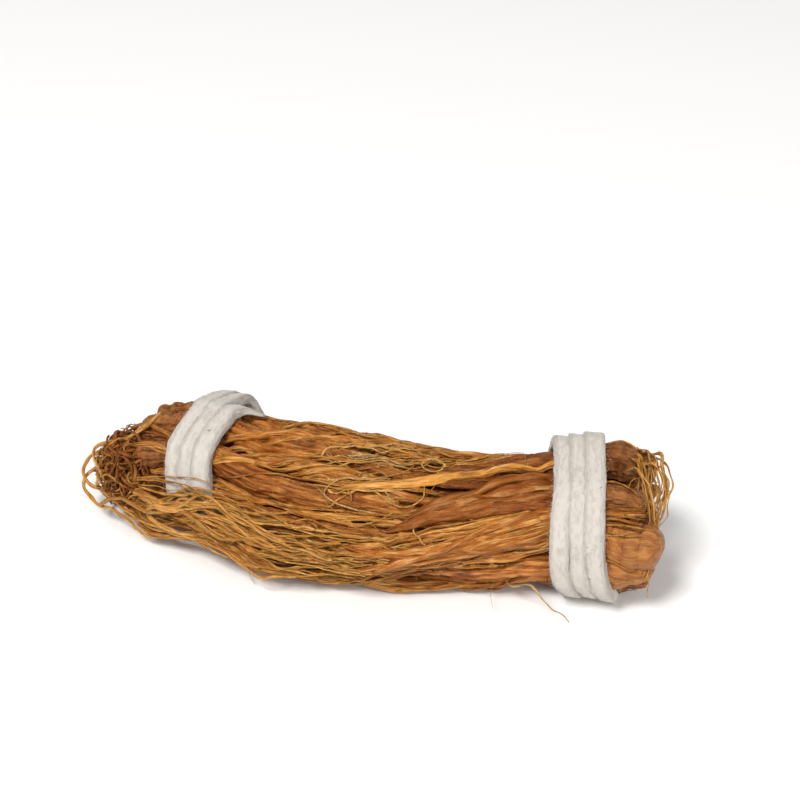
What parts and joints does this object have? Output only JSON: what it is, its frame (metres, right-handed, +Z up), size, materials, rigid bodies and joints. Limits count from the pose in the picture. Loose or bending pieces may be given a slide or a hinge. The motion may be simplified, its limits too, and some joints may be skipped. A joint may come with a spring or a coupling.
{
  "type": "tied bundle of red ginseng roots",
  "caption": "Bundle of steamed and dried red ginseng roots laid head to tail and tied near both ends with white cotton cord.",
  "frame": {"origin": "centre of the bundle's box, on the surface that it lies on", "axes": "+X along the bundle towards the end where the thick heads are plain to see, +Z up, -Y towards the bundle's bowed front"},
  "size_m": [0.1492, 0.0552, 0.0415],
  "materials": {
    "root_skin": "steamed and dried root skin, red brown to ochre, wrinkled lengthwise, satin",
    "cotton_cord": "soft undyed white cotton cord, loosely twisted, matt"
  },
  "bodies": {
    "root": {"root_right_01": "root_skin", "root_right_02": "root_skin", "root_right_03": "root_skin", "root_right_04": "root_skin", "root_right_05": "root_skin", "root_right_06": "root_skin", "root_right_07": "root_skin", "root_right_08": "root_skin", "root_right_09": "root_skin", "root_right_10": "root_skin", "root_right_11": "root_skin", "root_right_12": "root_skin", "root_left_01": "root_skin", "root_left_02": "root_skin", "root_left_03": "root_skin", "root_left_04": "root_skin", "root_left_05": "root_skin", "root_left_06": "root_skin", "root_left_07": "root_skin", "root_left_08": "root_skin", "tie_left": "cotton_cord", "tie_right": "cotton_cord"}
  },
  "joints": []
}
